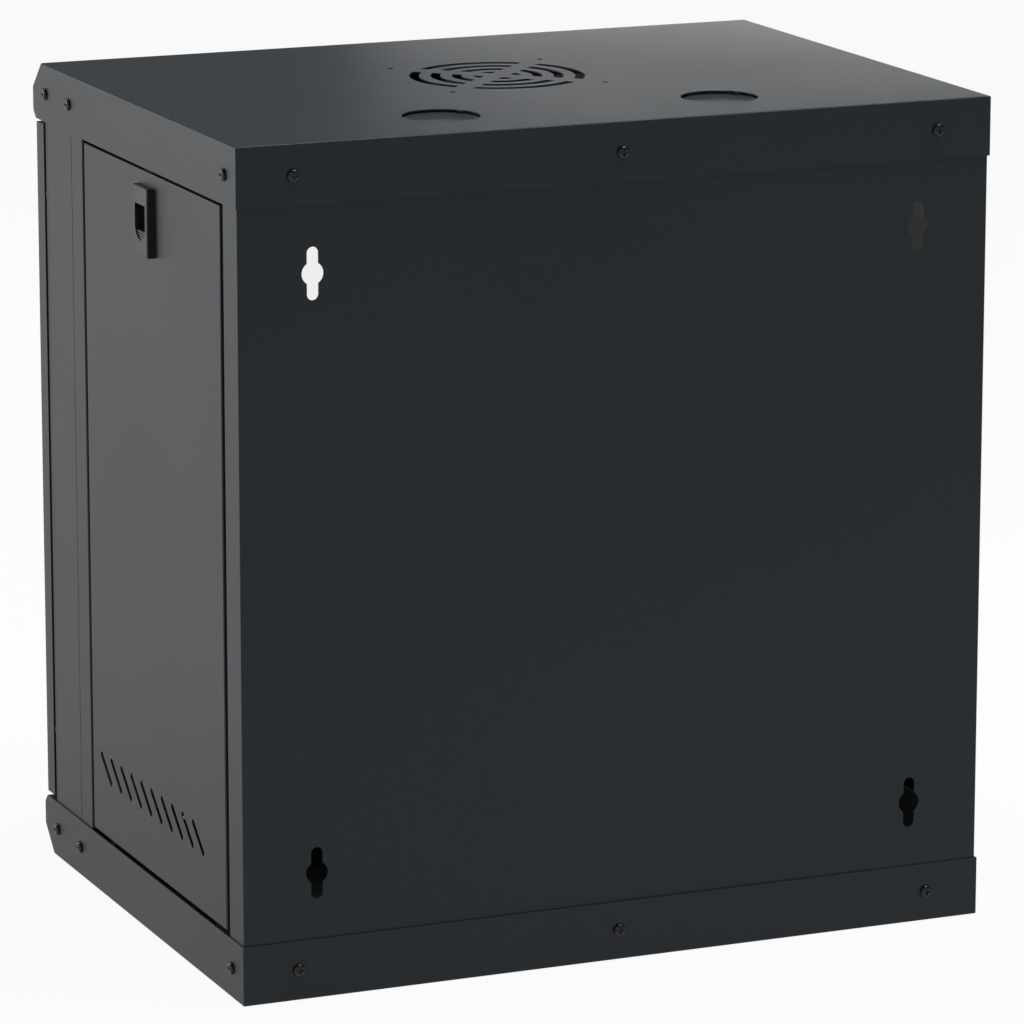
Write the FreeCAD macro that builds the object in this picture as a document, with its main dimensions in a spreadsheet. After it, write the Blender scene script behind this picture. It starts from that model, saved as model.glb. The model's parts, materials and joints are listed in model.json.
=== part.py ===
import FreeCAD, Part
import math
import os

import Sketcher

# Wall mount network cabinet, 12 rack units high, for 19 inch equipment.
# Frame: X to the cabinet's right seen from its front, -Y the door side, +Y the wall side, +Z up.
# The origin is the middle of the bottom cover's underside. Lengths are in millimetres.

SIZES = {
    # whole cabinet, over its two covers
    "width": 600.0,
    "depth": 450.0,
    "height": 635.0,
    "steel": 1.2,                 # sheet of the covers, panels, posts and door
    "rail_steel": 1.5,            # sheet of the rails and their brackets
    "gap": 0.3,                   # running clearance between pieces that move apart
    "bend": 1.2,                  # outer radius of a folded edge
    # top and bottom cover
    "rim": 45.0,                  # height of the folded rim
    "bevel": 21.0,                # sloping front edge, at 45 degrees
    "nose": 6.0,                  # small slope at the rim's front corner
    "lip": 23.0,                  # lip that returns from the rim's front, over the door
    "cover_bite": 23.0,           # cover screws, in from the cover's flat face
    "rear_screw_in": 43.5,        # outer rear screws from the cabinet's sides
    "side_screw_front": 30.0,     # side screws from the cabinet's front
    "side_screw_second": 85.0,
    "side_screw_rear": 24.0,      # side screw from the cabinet's rear
    # slots along the covers' sloping front edge
    "bevel_slots": 12,
    "bevel_slot_pitch": 10.0,
    "bevel_slot_first": 115.0,    # first slot from the middle, on either side
    "bevel_slot_width": 5.0,
    "bevel_slot_rise": 9.0,
    # fan opening in the top cover
    "fan_y": -10.0,
    "fan_pitch": 124.5,           # square of the fan's four screws
    "fan_hole_r": 2.25,
    "vent_r": 67.0,
    "vent_rings": 4,
    "vent_slot": 7.5,
    "vent_step": 16.2,            # from one ring of slots to the next
    "vent_spoke": 15.0,
    # cable knock-outs in both covers
    "knock_x": 112.0,
    "knock_rear": 75.0,           # centre from the cabinet's rear
    "knock_r": 29.0,
    "knock_gap": 1.0,             # sheared gap round the disc
    "knock_drop": 2.1,            # how far the disc is pushed in
    "knock_tab": 5.0,
    "knock_turn": 37.0,           # degrees, where the two tabs sit
    # rear panel
    "return_depth": 31.0,         # side return, from the cabinet's rear
    "inner_lip": 14.8,            # folded lips of the posts and the rear panel
    "key_in": 58.5,               # wall keyholes from the cabinet's sides
    "key_z": 95.0,                # and in from the top and the bottom
    "key_r": 8.5,
    "key_slot_r": 4.5,
    "key_length": 39.0,
    # front posts
    "post_front": 24.5,           # front face from the cabinet's front
    "post_rear": 112.0,           # rear edge from the cabinet's front
    "post_flange": 36.8,          # width of the flange behind the door
    # side panels
    "panel_gap_front": 4.0,
    "panel_gap_rear": 6.0,
    "panel_gap_z": 2.5,
    "panel_fold": 14.0,
    "panel_slots": 10,
    "panel_slot_pitch": 22.9,
    "panel_slot_front": 136.5,    # first slot's upper end from the cabinet's front
    "panel_slot_z": 111.5,        # its height
    "panel_slot_run": 21.0,
    "panel_slot_fall": 18.0,
    "panel_slot_r": 2.4,
    "hook_width": 40.0,
    "hook_inset": 40.0,           # hooks from the panel's upright edges
    "hook_drop": 8.0,
    "hook_set_in": 5.0,           # hooks' upper part, in from the panel's face
    "hook_foot": 2.0,
    "hook_gap": 0.6,              # hooks' feet from the bottom cover's rim
    # side latches
    "latch_y": 34.0,
    "latch_down": 84.0,           # latches below the cabinet's top
    "latch_width": 30.0,
    "latch_tall": 52.0,
    "latch_proud": 6.0,
    "neck_inset": 2.2,            # the neck is this much narrower than the face, each side
    "neck_inset_z": 6.2,
    "neck_deep": 6.0,
    "neck_gap": 0.2,
    "neck_lug": 1.2,
    "thumb_window": 22.0,
    "thumb_window_tall": 27.0,
    "thumb_floor": 5.0,           # floor of the thumb window, in front of the bolt
    "thumb_tall": 6.5,            # thumb piece, from the bottom of the window
    "thumb_stem": 9.0,
    "groove": 0.8,                # grooves across the thumb piece
    "groove_pitch": 2.2,
    "bolt_thick": 2.0,
    "bolt_width": 15.4,
    "bolt_travel": 8.0,
    "plate_wall": 2.0,
    "small_screw_r": 1.25,
    "small_head_r": 2.1,
    # door
    "door_side_gap": 1.5,         # door's edge in from the cabinet's side
    "door_end_gap": 3.0,          # between the door and a cover's lip
    "door_inset": 2.0,            # door's face back from the cabinet's front
    "door_thick": 17.5,
    "door_lip": 10.0,
    "stile": 80.0,
    "door_rail": 50.0,
    "glass": 4.0,
    "glass_bite": 12.0,           # glass behind the door's face
    "seal": 1.5,
    "clips": 4,                   # glass clips on each side
    "clip_end": 60.0,
    "clip_width": 16.0,
    "clip_foot": 14.0,
    "clip_nut_r": 3.5,
    "clip_nut_tall": 3.2,
    # hinge
    "hinge_in": 8.0,              # hinge axis from the door's edge
    "pin_r": 2.5,
    "pin_fit": 0.08,              # radial clearance of a pin in its hole
    "pin_reach": 7.0,             # how far a pin stands out of the door
    "pin_travel": 8.0,
    "pin_tail": 16.0,
    "hinge_plate": 2.0,
    "hinge_plate_in": 30.0,       # hinge plates from the door's ends
    "hinge_plate_long": 17.0,
    "hinge_tab": 14.0,            # height of the tab that fixes a hinge plate to the door's face
    "ring_r": 4.2,
    "ring_tall": 1.2,
    "spring_r": 3.4,
    "spring_wire": 0.8,
    "spring_turns": 7,
    # lock
    "lock_in": 52.5,              # lock's axis from the door's edge
    "lock_r": 9.0,
    "lock_flange_r": 12.0,
    "lock_flange": 1.7,
    "lock_nut_r": 12.0,
    "lock_nut_tall": 4.0,
    "plug_r": 6.0,
    "key_slot_wide": 1.2,
    "key_slot_tall": 7.0,
    "key_slot_deep": 6.0,
    "cam_clear": 2.5,             # cam behind the post's flange
    "cam_thick": 2.0,
    "cam_long": 30.0,
    "cam_wide": 12.0,
    "buffer_r": 5.0,
    "buffer_z": 55.0,             # door buffers from the door's ends
    # 19 inch mounting rails
    "unit": 44.45,
    "hole_step": 15.875,
    "hole_first": 6.35,
    "hole_square": 9.5,
    "rack_holes_in": 67.45,       # rack hole rows from the cabinet's sides, 465.1 apart
    "rack_edge": 7.25,            # rails' inner edges from their hole rows
    "rail_front": 75.0,           # rails' face from the cabinet's front
    "rail_deep": 35.0,
    "rail_end": 2.8,              # rails' ends from the covers' rims
    "rail_travel": 110.0,
    # depth brackets that carry the rails
    "bracket_in": 41.5,           # brackets' inner faces from the cabinet's sides
    "bracket_tall": 40.0,
    "bracket_tab": 26.5,
    "bracket_z": 55.0,            # brackets from the cabinet's top and bottom
    "rail_screw_first": 12.0,
    "rail_screw_second": 26.0,
    "rail_screw_r": 2.95,
    "rail_slot_r": 3.4,
    "rail_head_r": 5.5,
    "rail_head_tall": 3.6,
    "rail_nut_tall": 4.0,
    # cover screws, their nuts and the earth stud
    "screw_r": 2.45,
    "screw_hole_r": 2.75,
    "thread_hole_r": 2.5,
    "screw_long": 9.0,
    "head_r": 4.75,
    "head_tall": 2.6,
    "head_round": 1.8,
    "cross_long": 5.4,
    "cross_wide": 1.1,
    "cross_deep": 1.3,
    "nut_r": 4.0,
    "nut_tall": 3.2,
    "earth_in": 100.0,            # earth stud from the cabinet's left side
    "earth_rear": 60.0,
    "earth_r": 3.0,
    "earth_tall": 20.0,
    "earth_washer_r": 7.0,
    "earth_washer": 1.5,
    "earth_nut_r": 5.5,
    "earth_nut_tall": 5.0,
}

doc = FreeCAD.newDocument("wall_cabinet")
sheet = doc.addObject("Spreadsheet::Sheet", "Sizes")
for row, (alias, number) in enumerate(SIZES.items(), start=1):
    sheet.set(f"A{row}", alias)
    sheet.set(f"B{row}", str(number))
    sheet.setAlias(f"B{row}", alias)
doc.recompute()


# ---------------------------------------------------------------- sizes that carry their formula

class Size:
    """A length with its value and the spreadsheet formula that gives it."""

    def __init__(self, value, formula=None):
        self.value = float(value)
        self.formula = formula or f"({self.value:.10g})"

    def __add__(self, other):
        other = as_size(other)
        return Size(self.value + other.value, f"({self.formula} + {other.formula})")

    def __sub__(self, other):
        other = as_size(other)
        return Size(self.value - other.value, f"({self.formula} - {other.formula})")

    def __mul__(self, other):
        other = as_size(other)
        return Size(self.value * other.value, f"({self.formula} * {other.formula})")

    def __truediv__(self, other):
        other = as_size(other)
        return Size(self.value / other.value, f"({self.formula} / {other.formula})")

    def __neg__(self):
        return Size(-self.value, f"(0 - {self.formula})")

    def __radd__(self, other):
        return as_size(other) + self

    def __rsub__(self, other):
        return as_size(other) - self

    def __rmul__(self, other):
        return as_size(other) * self


def as_size(number):
    return number if isinstance(number, Size) else Size(number)


class Sizes:
    """The spreadsheet's cells, each as a Size."""

    def __init__(self, cells):
        for alias, number in cells.items():
            setattr(self, alias, Size(number, f"Sizes.{alias}"))


s = Sizes(SIZES)


# ---------------------------------------------------------------- drawing tools

def bind(item, prop, size):
    """Set a property and tie it to the spreadsheet."""
    item.setExpression(prop, as_size(size).formula)


def place(item, point):
    """Tie a solid's position to the spreadsheet."""
    for letter, size in zip("xyz", point):
        bind(item, f".Placement.Base.{letter}", size)


def box(name, low, high):
    """A block between two opposite corners."""
    block = doc.addObject("Part::Box", name)
    for prop, start, end in zip(("Length", "Width", "Height"), low, high):
        bind(block, prop, as_size(end) - start)
    place(block, low)
    return block


TURNS = {
    "x": FreeCAD.Rotation(FreeCAD.Vector(0, 1, 0), 90),
    "y": FreeCAD.Rotation(FreeCAD.Vector(1, 0, 0), -90),
    "z": FreeCAD.Rotation(),
}


def cylinder(name, axis, start, radius, length):
    """A round bar that starts at a point and runs along +x, +y or +z."""
    bar = doc.addObject("Part::Cylinder", name)
    bind(bar, "Radius", radius)
    bind(bar, "Height", length)
    bar.Placement = FreeCAD.Placement(FreeCAD.Vector(), TURNS[axis])
    place(bar, start)
    return bar


def fuse(name, pieces):
    """Join solids into one."""
    joined = doc.addObject("Part::MultiFuse", name)
    joined.Shapes = pieces
    return joined


def cut(name, base, tools):
    """Take one or more tools from a solid."""
    result = doc.addObject("Part::Cut", name)
    result.Base = base
    result.Tool = tools[0] if len(tools) == 1 else fuse(f"{name}_tools", tools)
    return result


def mirror(name, source):
    """The same piece on the cabinet's other side."""
    copy = doc.addObject("Part::Mirroring", name)
    copy.Source = source
    copy.Normal = FreeCAD.Vector(1, 0, 0)
    return copy


def new_body(name):
    return doc.addObject("PartDesign::Body", name)


def polygon(sketch, points):
    """A closed outline whose corners are each tied to the origin."""
    first = sketch.GeometryCount
    count = len(points)
    flat = [FreeCAD.Vector(as_size(u).value, as_size(v).value, 0) for u, v in points]
    for i in range(count):
        sketch.addGeometry(Part.LineSegment(flat[i], flat[(i + 1) % count]))
    for i in range(count):
        sketch.addConstraint(Sketcher.Constraint("Coincident", first + i, 2, first + (i + 1) % count, 1))
    for i, (u, v) in enumerate(points):
        for kind, size in (("DistanceX", u), ("DistanceY", v)):
            size = as_size(size)
            rule = sketch.addConstraint(Sketcher.Constraint(kind, -1, 1, first + i, 1, size.value))
            sketch.setExpression(f"Constraints[{rule}]", size.formula)


def rectangle(u_low, u_high, v_low, v_high):
    return [(u_low, v_low), (u_high, v_low), (u_high, v_high), (u_low, v_high)]


def circle(sketch, centre, radius):
    """A circle with its centre and radius tied to the spreadsheet."""
    u, v, radius = (as_size(size) for size in (*centre, radius))
    normal = FreeCAD.Vector(0, 0, 1)
    index = sketch.addGeometry(Part.Circle(FreeCAD.Vector(u.value, v.value, 0), normal, radius.value))
    rules = (
        (Sketcher.Constraint("DistanceX", -1, 1, index, 3, u.value), u),
        (Sketcher.Constraint("DistanceY", -1, 1, index, 3, v.value), v),
        (Sketcher.Constraint("Radius", index, radius.value), radius),
    )
    for rule, size in rules:
        sketch.setExpression(f"Constraints[{sketch.addConstraint(rule)}]", size.formula)


def slot(sketch, start, end, radius):
    """A straight slot with round ends, from centre to centre."""
    radius = as_size(radius)
    ends = [[as_size(size) for size in point] for point in (start, end)]
    first, last = (FreeCAD.Vector(u.value, v.value, 0) for u, v in ends)
    heading = math.atan2(last.y - first.y, last.x - first.x)
    side = FreeCAD.Vector(-math.sin(heading), math.cos(heading), 0) * radius.value
    normal = FreeCAD.Vector(0, 0, 1)
    index = sketch.GeometryCount
    quarter = math.pi / 2
    for middle, begin in ((first, heading + quarter), (last, heading - quarter)):
        round_end = Part.Circle(middle, normal, radius.value)
        sketch.addGeometry(Part.ArcOfCircle(round_end, begin, begin + math.pi))
    sketch.addGeometry(Part.LineSegment(first - side, last - side))
    sketch.addGeometry(Part.LineSegment(last + side, first + side))
    for one, one_end, two, two_end in ((0, 2, 2, 1), (2, 2, 1, 1), (1, 2, 3, 1), (3, 2, 0, 1)):
        tangent = Sketcher.Constraint("Tangent", index + one, one_end, index + two, two_end)
        sketch.addConstraint(tangent)
    sketch.addConstraint(Sketcher.Constraint("Equal", index, index + 1))
    rule = sketch.addConstraint(Sketcher.Constraint("Radius", index, radius.value))
    sketch.setExpression(f"Constraints[{rule}]", radius.formula)
    for offset, (u, v) in enumerate(ends):
        for kind, size in (("DistanceX", u), ("DistanceY", v)):
            rule = sketch.addConstraint(Sketcher.Constraint(kind, -1, 1, index + offset, 3, size.value))
            sketch.setExpression(f"Constraints[{rule}]", size.formula)


def sketch_on(body, name, plane, start):
    """An empty sketch on one of the body's planes, moved along X, Y or Z to start."""
    sketch = body.newObject("Sketcher::SketchObject", name)
    origin_plane = next(item for item in body.Origin.OriginFeatures if item.Role == f"{plane}_Plane")
    sketch.AttachmentSupport = [(origin_plane, "")]
    sketch.MapMode = "FlatFace"
    bind(sketch, ".AttachmentOffset.Base.z", -as_size(start) if plane == "XZ" else start)
    return sketch


def draw(sketch, shapes):
    """Draw polygons (lists of points), circles (centre, radius) and slots (start, end, radius)."""
    for shape in shapes:
        if isinstance(shape, list):
            polygon(sketch, shape)
        elif len(shape) == 2:
            circle(sketch, *shape)
        else:
            slot(sketch, *shape)


def pad(body, name, plane, start, end, shapes):
    """Add material between two levels along the plane's X, Y or Z."""
    sketch = sketch_on(body, f"{name}_sketch", plane, start)
    draw(sketch, shapes)
    feature = body.newObject("PartDesign::Pad", name)
    feature.Profile = sketch
    feature.Reversed = plane == "XZ"
    bind(feature, "Length", as_size(end) - start)
    doc.recompute()
    return feature


def pocket(body, name, plane, start, end, shapes):
    """Take material away between two levels along the plane's X, Y or Z."""
    sketch = sketch_on(body, f"{name}_sketch", plane, start)
    draw(sketch, shapes)
    feature = body.newObject("PartDesign::Pocket", name)
    feature.Profile = sketch
    feature.Reversed = plane != "XZ"
    bind(feature, "Length", as_size(end) - start)
    doc.recompute()
    return feature


def row_of(body, name, feature, axis, pitch, count):
    """Repeat a feature in a row along one of the body's own axes."""
    pattern = body.newObject("PartDesign::LinearPattern", name)
    pattern.Originals = [feature]
    direction = next(item for item in body.Origin.OriginFeatures if item.Role == f"{axis}_Axis")
    pattern.Direction = (direction, [""])
    pattern.Mode = "Spacing"
    bind(pattern, "Offset", pitch)
    bind(pattern, "Occurrences", count)
    body.Tip = pattern
    doc.recompute()
    return pattern


def round_edges(body, name, radius, wanted):
    """Round the edges of the body's last feature that the test picks."""
    base = body.Tip
    picked = [f"Edge{i}" for i, edge in enumerate(base.Shape.Edges, start=1) if wanted(edge.BoundBox)]
    feature = body.newObject("PartDesign::Fillet", name)
    feature.Base = (base, picked)
    bind(feature, "Radius", radius)
    doc.recompute()
    return feature


def near(a, b):
    return abs(a - b) < 1e-4


NODES = []


def node(name, item):
    """Name a finished sub-part, which also names its file."""
    item.Label = name
    NODES.append(item)
    return item


def node_pair(name, item):
    """Name the right-hand piece and make its mirror image on the left."""
    node(f"{name}_right", item)
    node(f"{name}_left", mirror(f"{name}_mirrored", item))


def node_group(name, shapes):
    """One node of equal fasteners, each a solid of its own, copied from a finished master."""
    group = doc.addObject("Part::Feature", name)
    group.Shape = Part.makeCompound(shapes)
    group.Placement = FreeCAD.Placement()
    return node(name, group)


def copies(master, places):
    """Copies of a master piece that lies along +Z at the origin: (point, direction) for each."""
    up = FreeCAD.Vector(0, 0, 1)
    shapes = []
    for point, direction in places:
        spot = FreeCAD.Vector(*(as_size(size).value for size in point))
        turn = FreeCAD.Rotation(up, FreeCAD.Vector(*direction))
        shape = master.Shape.copy()
        shape.Placement = FreeCAD.Placement(spot, turn)
        shapes.append(shape)
    return shapes


# ---------------------------------------------------------------- places that several pieces share

side = s.width / 2                               # outer face of the covers' sides
skin = side - s.steel                            # outer face of posts, panels and rear returns
front = -s.depth / 2
rear = s.depth / 2
back = rear - s.steel                            # outer face of the rear panel
mitre = math.sqrt(2) - 1                         # shift of a 45 degree corner per sheet thickness

screw_front_y = front + s.side_screw_front
screw_second_y = front + s.side_screw_second
screw_rear_y = rear - s.side_screw_rear
side_screw_ys = (screw_front_y, screw_second_y, screw_rear_y)
rear_screw_xs = (s.rear_screw_in - side, Size(0), side - s.rear_screw_in)
screw_zs = (s.cover_bite, s.height - s.cover_bite)

door_half = side - s.door_side_gap
door_low = s.rim + s.door_end_gap
door_high = s.height - door_low
door_face = front + s.door_inset
door_inner = door_face + s.steel
door_back = door_face + s.door_thick
hinge_x = -(door_half - s.hinge_in)
hinge_y = door_face + s.door_thick / 2
lock_x = door_half - s.lock_in
post_face = front + s.post_front
post_edge = front + s.post_rear
return_edge = rear - s.return_depth


# ---------------------------------------------------------------- top and bottom cover

def cover_shell(name, level):
    """A folded cover; level turns a distance in from its flat face into a height."""
    body = new_body(f"{name}_shell")
    outline = [
        (rear, level(0)),
        (front + s.bevel, level(0)),
        (front, level(s.bevel)),
        (front, level(s.rim - s.nose)),
        (front + s.nose, level(s.rim)),
        (rear, level(s.rim)),
    ]
    hollow = [
        (back, level(s.steel)),
        (front + s.bevel + mitre * s.steel, level(s.steel)),
        (front + s.steel, level(s.bevel + mitre * s.steel)),
        (front + s.steel, level(s.rim - s.nose - mitre * s.steel)),
        (front + s.nose + mitre * s.steel, level(s.rim - s.steel)),
        (front + s.lip, level(s.rim - s.steel)),
        (front + s.lip, level(s.rim)),
        (back, level(s.rim)),
    ]
    pad(body, f"{name}_block", "YZ", -side, side, [outline])
    flat = level(0).value
    round_edges(body, f"{name}_folds", s.bend, lambda b: near(b.ZMin, flat) and near(b.ZMax, flat))
    pocket(body, f"{name}_hollow", "YZ", -skin, skin, [hollow])
    side_holes = [((y, level(s.cover_bite)), s.screw_hole_r) for y in side_screw_ys]
    pocket(body, f"{name}_side_holes", "YZ", -side - 1, side + 1, side_holes)
    rear_holes = [((x, level(s.cover_bite)), s.screw_hole_r) for x in rear_screw_xs]
    pocket(body, f"{name}_rear_holes", "XZ", back - 1, rear + 1, rear_holes)
    pin_holes = [((x, hinge_y), s.pin_r + s.pin_fit) for x in (hinge_x, -hinge_x)]
    lip_low = min(level(s.rim), level(s.rim - s.steel), key=lambda size: size.value)
    pocket(body, f"{name}_pin_holes", "XY", lip_low - 1, lip_low + s.steel + 1, pin_holes)
    return body


def through_cover(level):
    """Two levels that lie just outside a cover's flat sheet."""
    return sorted((level(-1), level(s.steel + 1)), key=lambda size: size.value)


def bevel_slots(name, level):
    """Short slots in a row along the sloping front edge, on both sides of the middle."""
    low, high = sorted(
        (level((s.bevel - s.bevel_slot_rise) / 2), level((s.bevel + s.bevel_slot_rise) / 2)),
        key=lambda size: size.value,
    )
    slots = []
    for hand in (-1, 1):
        for i in range(int(s.bevel_slots.value)):
            x = hand * (s.bevel_slot_first + i * s.bevel_slot_pitch)
            left, right = x - s.bevel_slot_width / 2, x + s.bevel_slot_width / 2
            corner = (right, front + s.bevel, high)
            slots.append(box(f"{name}_bevel_slot", (left, front + s.steel / 4, low), corner))
    return slots


def knock_outs(name, level):
    """Holes for the cable knock-outs, and the discs that their tabs still hold."""
    low, high = through_cover(level)
    disc_low, disc_high = sorted(
        (level(s.knock_drop), level(s.knock_drop + s.steel)), key=lambda size: size.value
    )
    tab_low, tab_high = sorted(
        (level(s.steel / 3), level(s.knock_drop + s.steel / 2)), key=lambda size: size.value
    )
    holes, discs = [], []
    y = rear - s.knock_rear
    reach = s.knock_r + s.knock_gap
    for x in (-s.knock_x, s.knock_x):
        holes.append(cylinder(f"{name}_knock_hole", "z", (x, y, low), s.knock_r, high - low))
        radius = s.knock_r - s.knock_gap
        disc = cylinder(f"{name}_knock_disc", "z", (x, y, disc_low), radius, disc_high - disc_low)
        bar = box(f"{name}_knock_bar", (-reach, -s.knock_tab / 2, 0), (reach, s.knock_tab / 2, 0))
        bind(bar, "Height", tab_high - tab_low)
        core_r = s.knock_r - 3 * s.knock_gap
        core = cylinder(f"{name}_knock_core", "z", (0, 0, -1), core_r, tab_high - tab_low + 2)
        tabs = cut(f"{name}_knock_tabs", bar, [core])
        turn = FreeCAD.Rotation(FreeCAD.Vector(0, 0, 1), s.knock_turn.value)
        tabs.Placement = FreeCAD.Placement(FreeCAD.Vector(), turn)
        bind(tabs, ".Placement.Rotation.Angle", s.knock_turn)
        place(tabs, (x, y, tab_low))
        discs += [disc, tabs]
    return holes, discs


def fan_vent():
    """Rings of slots for the fan, with four plain spokes, and the fan's screw holes."""
    low = s.height - s.steel - 1
    tall = s.steel + 2
    rings = []
    for i in range(int(s.vent_rings.value)):
        outer_r = s.vent_r - i * s.vent_step
        outer = cylinder("vent_outer", "z", (0, s.fan_y, low), outer_r, tall)
        inner = cylinder("vent_inner", "z", (0, s.fan_y, low), outer_r - s.vent_slot, tall)
        rings.append(cut("vent_ring", outer, [inner]))
    spokes = []
    for angle in (45, -45):
        reach = s.vent_r + 1
        spoke = box("vent_spoke", (-reach, -s.vent_spoke / 2, 0), (reach, s.vent_spoke / 2, tall))
        holder = doc.addObject("Part::Compound", "vent_spoke_turned")
        holder.Links = [spoke]
        turn = FreeCAD.Rotation(FreeCAD.Vector(0, 0, 1), angle)
        holder.Placement = FreeCAD.Placement(FreeCAD.Vector(), turn)
        place(holder, (0, s.fan_y, low))
        spokes.append(holder)
    vent = cut("vent_slots", fuse("vent_rings_joined", rings), spokes)
    holes = []
    for x in (-s.fan_pitch / 2, s.fan_pitch / 2):
        for y in (s.fan_y - s.fan_pitch / 2, s.fan_y + s.fan_pitch / 2):
            holes.append(cylinder("fan_screw_hole", "z", (x, y, low), s.fan_hole_r, tall))
    return [vent] + holes


def cover(name, level, extra_cuts):
    """One finished cover: shell, slots, knock-outs and any further cuts."""
    shell = cover_shell(name, level)
    holes, discs = knock_outs(name, level)
    opened = cut(f"{name}_opened", shell, bevel_slots(name, level) + holes + extra_cuts)
    return node(name, fuse(f"{name}_joined", [opened] + discs))


top_level = lambda inward: s.height - inward
bottom_level = as_size
cover("top_cover", top_level, fan_vent())
cover("bottom_cover", bottom_level, [])


# ---------------------------------------------------------------- rear panel and front posts

def rear_panel():
    """Rear sheet with its side returns, wall keyholes and screw holes."""
    body = new_body("rear_panel_sheet")
    inner_x = skin - s.steel
    lip_x = skin - s.inner_lip
    half = [
        (skin, back),
        (skin, return_edge),
        (lip_x, return_edge),
        (lip_x, return_edge + s.steel),
        (inner_x, return_edge + s.steel),
        (inner_x, back - s.steel),
    ]
    outline = half + [(-x, y) for x, y in reversed(half)]
    pad(body, "rear_sheet", "XY", s.steel, s.height - s.steel, [outline])
    corner = (skin.value, back.value)
    round_edges(
        body, "rear_folds", s.bend,
        lambda b: near(abs(b.XMin), corner[0]) and near(b.XMin, b.XMax)
        and near(b.YMin, b.YMax) and (near(b.YMin, corner[1]) or near(b.YMin, return_edge.value)),
    )
    key_zs = (s.key_z, s.height - s.key_z)
    key_xs = (s.key_in - side, side - s.key_in)
    rounds = [((x, z), s.key_r) for x in key_xs for z in key_zs]
    pocket(body, "key_rounds", "XZ", back - s.steel - 1, back + 1, rounds)
    reach = s.key_length / 2 - s.key_slot_r
    slots = [((x, z - reach), (x, z + reach), s.key_slot_r) for x in key_xs for z in key_zs]
    pocket(body, "key_slots", "XZ", back - s.steel - 1, back + 1, slots)
    holes = [((x, z), s.thread_hole_r) for x in rear_screw_xs for z in screw_zs]
    pocket(body, "rear_screw_holes", "XZ", back - s.steel - 1, back + 1, holes)
    holes = [((screw_rear_y, z), s.thread_hole_r) for z in screw_zs]
    pocket(body, "return_screw_holes", "YZ", -skin - 1, skin + 1, holes)
    return node("rear_panel", body)


def front_post():
    """Right-hand post: a web under the covers' sides and a flange behind the door."""
    body = new_body("front_post_sheet")
    inner_x = skin - s.steel
    flange_x = skin - s.post_flange
    lip_x = skin - s.inner_lip
    outline = [
        (skin, post_face),
        (skin, post_edge),
        (lip_x, post_edge),
        (lip_x, post_edge - s.steel),
        (inner_x, post_edge - s.steel),
        (inner_x, post_face + s.steel),
        (flange_x, post_face + s.steel),
        (flange_x, post_face),
    ]
    pad(body, "post_sheet", "XY", s.steel, s.height - s.steel, [outline])
    round_edges(
        body, "post_folds", s.bend,
        lambda b: near(b.XMin, skin.value) and near(b.XMax, skin.value) and near(b.YMin, b.YMax),
    )
    holes = [((y, z), s.thread_hole_r) for y in (screw_front_y, screw_second_y) for z in screw_zs]
    pocket(body, "post_screw_holes", "YZ", inner_x - 1, skin + 1, holes)
    return body


rear_panel()
node_pair("front_post", front_post())


# ---------------------------------------------------------------- side panels and their latches

panel_front = post_edge + s.panel_gap_front
panel_rear = return_edge - s.panel_gap_rear
panel_low = s.rim + s.panel_gap_z
panel_high = s.height - panel_low

latch_z = s.height - s.latch_down
neck_low = latch_z - s.latch_tall / 2 + s.neck_inset_z
neck_high = latch_z + s.latch_tall / 2 - s.neck_inset_z
neck_front = s.latch_y - s.latch_width / 2 + s.neck_inset
neck_rear = s.latch_y + s.latch_width / 2 - s.neck_inset
neck_back = skin - s.neck_deep                   # inner end of the latch housing's neck
latch_face = skin + s.latch_proud
window_low = latch_z - s.thumb_window_tall / 2 - 1
window_high = window_low + s.thumb_window_tall
bolt_face = neck_back - s.gap
bolt_back = bolt_face - s.bolt_thick
tongue_face = skin - s.steel - s.gap
tongue_low = neck_high + s.neck_lug + s.gap


def side_panel():
    """Right-hand side panel: a shallow tray with slots, a latch hole and two bottom hooks."""
    body = new_body("side_panel_sheet")
    outer = rectangle(panel_front, panel_rear, panel_low, panel_high)
    inner = rectangle(
        panel_front + s.steel, panel_rear - s.steel, panel_low + s.steel, panel_high - s.steel
    )
    fold_x = skin - s.panel_fold
    pad(body, "panel_block", "YZ", fold_x, skin, [outer])
    round_edges(
        body, "panel_folds", s.bend,
        lambda b: near(b.XMin, skin.value) and near(b.XMax, skin.value),
    )
    pocket(body, "panel_hollow", "YZ", fold_x - 1, skin - s.steel, [inner])
    clear = s.neck_gap
    opening = rectangle(neck_front - clear, neck_rear + clear, neck_low - clear, neck_high + clear)
    pocket(body, "panel_latch_hole", "YZ", skin - s.steel - 1, skin + 1, [opening])
    half = s.bolt_width / 2 + s.gap
    passage = rectangle(tongue_face - s.bolt_thick - s.gap, tongue_face + s.gap,
                        s.latch_y - half, s.latch_y + half)
    pocket(body, "panel_bolt_slot", "XY", panel_high - s.steel - 1, panel_high + 1, [passage])
    hook_face = skin - s.hook_set_in
    hook_low = s.rim - s.hook_drop
    for number, edge in enumerate((panel_front + s.hook_inset, panel_rear - s.hook_inset - s.hook_width)):
        hook = rectangle(edge, edge + s.hook_width, hook_low, panel_low + s.steel)
        pad(body, f"panel_hook_{number}", "YZ", hook_face - s.steel, hook_face, [hook])
        foot = rectangle(edge, edge + s.hook_width, hook_low, hook_low + s.hook_foot)
        pad(body, f"panel_foot_{number}", "YZ", hook_face - s.steel, skin - s.hook_gap, [foot])
    start = (front + s.panel_slot_front, s.panel_slot_z)
    end = (start[0] + s.panel_slot_run, start[1] - s.panel_slot_fall)
    first = pocket(body, "panel_slot", "YZ", skin - s.steel - 1, skin + 1, [(start, end, s.panel_slot_r)])
    row_of(body, "panel_slot_row", first, "Y", s.panel_slot_pitch, s.panel_slots)
    return body


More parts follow.
